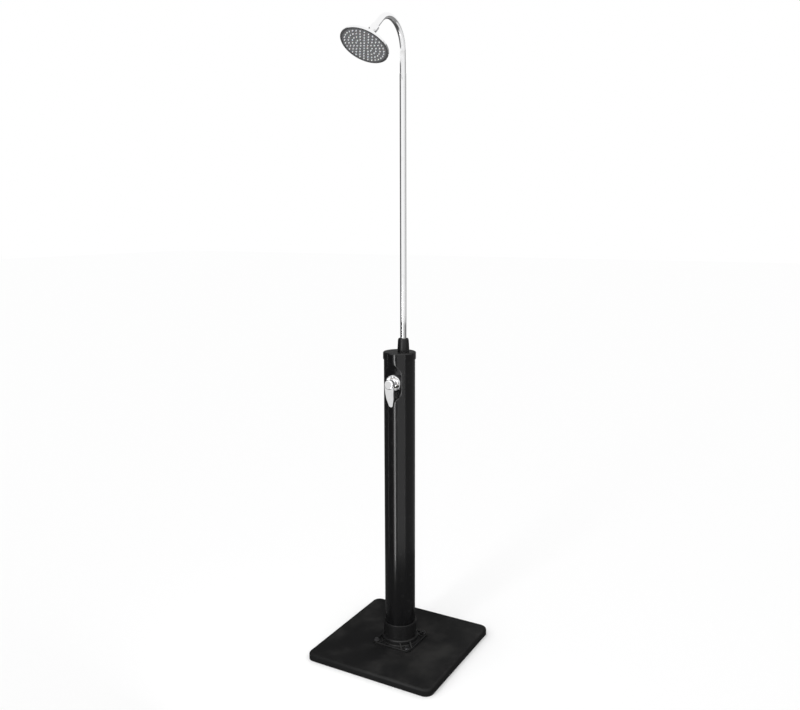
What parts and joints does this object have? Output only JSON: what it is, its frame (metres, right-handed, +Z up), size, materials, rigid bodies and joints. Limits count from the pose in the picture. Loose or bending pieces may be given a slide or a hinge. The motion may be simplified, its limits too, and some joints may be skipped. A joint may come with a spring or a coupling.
{
  "type": "solar outdoor shower",
  "caption": "Free-standing solar shower: square tray, black pipe tank with a lever tap, slim pole with a bent swivelling arm and a round rain head on a ball joint.",
  "frame": {"origin": "on the floor under the tank's axis, in the middle of the tray's underside", "axes": "+Z up along the tank, -Y towards the tap, +X to the right seen from the front"},
  "size_m": [0.5, 0.5263, 2.219],
  "materials": {
    "tray_black": "satin moulded",
    "foot_black": "satin moulded",
    "tank_black": "gloss extruded",
    "cap_black": "gloss moulded",
    "gland_black": "satin moulded",
    "pole_chrome": "polished",
    "head_chrome": "polished",
    "face_grey": "satin moulded",
    "silicone": "matte",
    "tap_chrome": "polished",
    "steel": "zinc plated",
    "brass": "turned",
    "seal_rubber": "matte",
    "nylon": "natural",
    "ceramic": "lapped ceramic",
    "hose": "flexible"
  },
  "bodies": {
    "root": {"base_plate": "tray_black", "base_flange": "foot_black", "tank_tube": "tank_black", "bottom_plug": "tank_black", "top_cap": "cap_black", "gland_nut": "gland_black", "riser_socket": "gland_black", "inlet_saddle": "gland_black", "lower_riser": "pole_chrome", "tap_escutcheon": "tap_chrome", "dome_nut": "tap_chrome", "flange_bolts": "steel", "flange_washers": "steel", "flange_nuts": "steel", "hose_ferrules": "steel", "mixer_body": "brass", "tap_locknut": "brass", "inlet_nipple": "brass", "inlet_locknut": "brass", "inlet_tee": "brass", "cap_seal": "seal_rubber", "socket_gasket": "seal_rubber", "gland_seal": "seal_rubber", "tap_gasket": "seal_rubber", "inlet_gasket": "seal_rubber", "gland_collet": "nylon", "stop_sleeve": "nylon", "cartridge_housing": "nylon", "fixed_disc": "ceramic", "cold_hose": "hose", "hot_pickup": "hose", "outlet_hose": "hose"},
    "arm": {"shower_arm": "pole_chrome", "arm_spigot": "brass", "spigot_rings": "seal_rubber", "inlet_washer": "seal_rubber"},
    "ball": {"ball_stem": "head_chrome"},
    "head": {"ball_collar": "head_chrome", "ball_cup": "nylon", "head_shell": "head_chrome", "face_plate": "face_grey", "nozzle_mat": "silicone", "face_seal": "seal_rubber"},
    "yoke": {"cartridge_yoke": "nylon", "lever_pin": "steel"},
    "lever": {"tap_lever": "tap_chrome", "lever_stem": "steel", "grub_screw": "steel", "index_cap": "tap_chrome"},
    "disc": {"moving_disc": "ceramic"}
  },
  "joints": [
    {"name": "arm_swing", "type": "hinge", "parent": "root", "child": "arm", "pos_m": [0, 0.028, 2.046], "axis": [0, 0, 1], "continuous": true},
    {"name": "head_turn", "type": "hinge", "parent": "arm", "child": "ball", "pos_m": [0, -0.16253, 2.14984], "axis": [0, -0.766, -0.6428], "continuous": true},
    {"name": "head_tilt", "type": "hinge", "parent": "ball", "child": "head", "pos_m": [0, -0.18551, 2.13056], "axis": [0.935, 0.228, -0.2717], "range_deg": [-42.73, 2.27]},
    {"name": "tap_turn", "type": "hinge", "parent": "root", "child": "yoke", "pos_m": [0, -0.055, 1.005], "axis": [0, -1, 0], "range_deg": [-50, 50]},
    {"name": "lever_lift", "type": "hinge", "parent": "yoke", "child": "lever", "pos_m": [0, -0.055, 1.005], "axis": [-1, 0, 0], "range_deg": [0, 22]},
    {"name": "disc_slide", "type": "slide", "parent": "yoke", "child": "disc", "axis": [0, 0, -1], "range_m": [0, 0.0061]}
  ],
  "couplings": [
    {"joint": "disc_slide", "follows": "lever_lift", "m_per_rad": 0.0156}
  ]
}
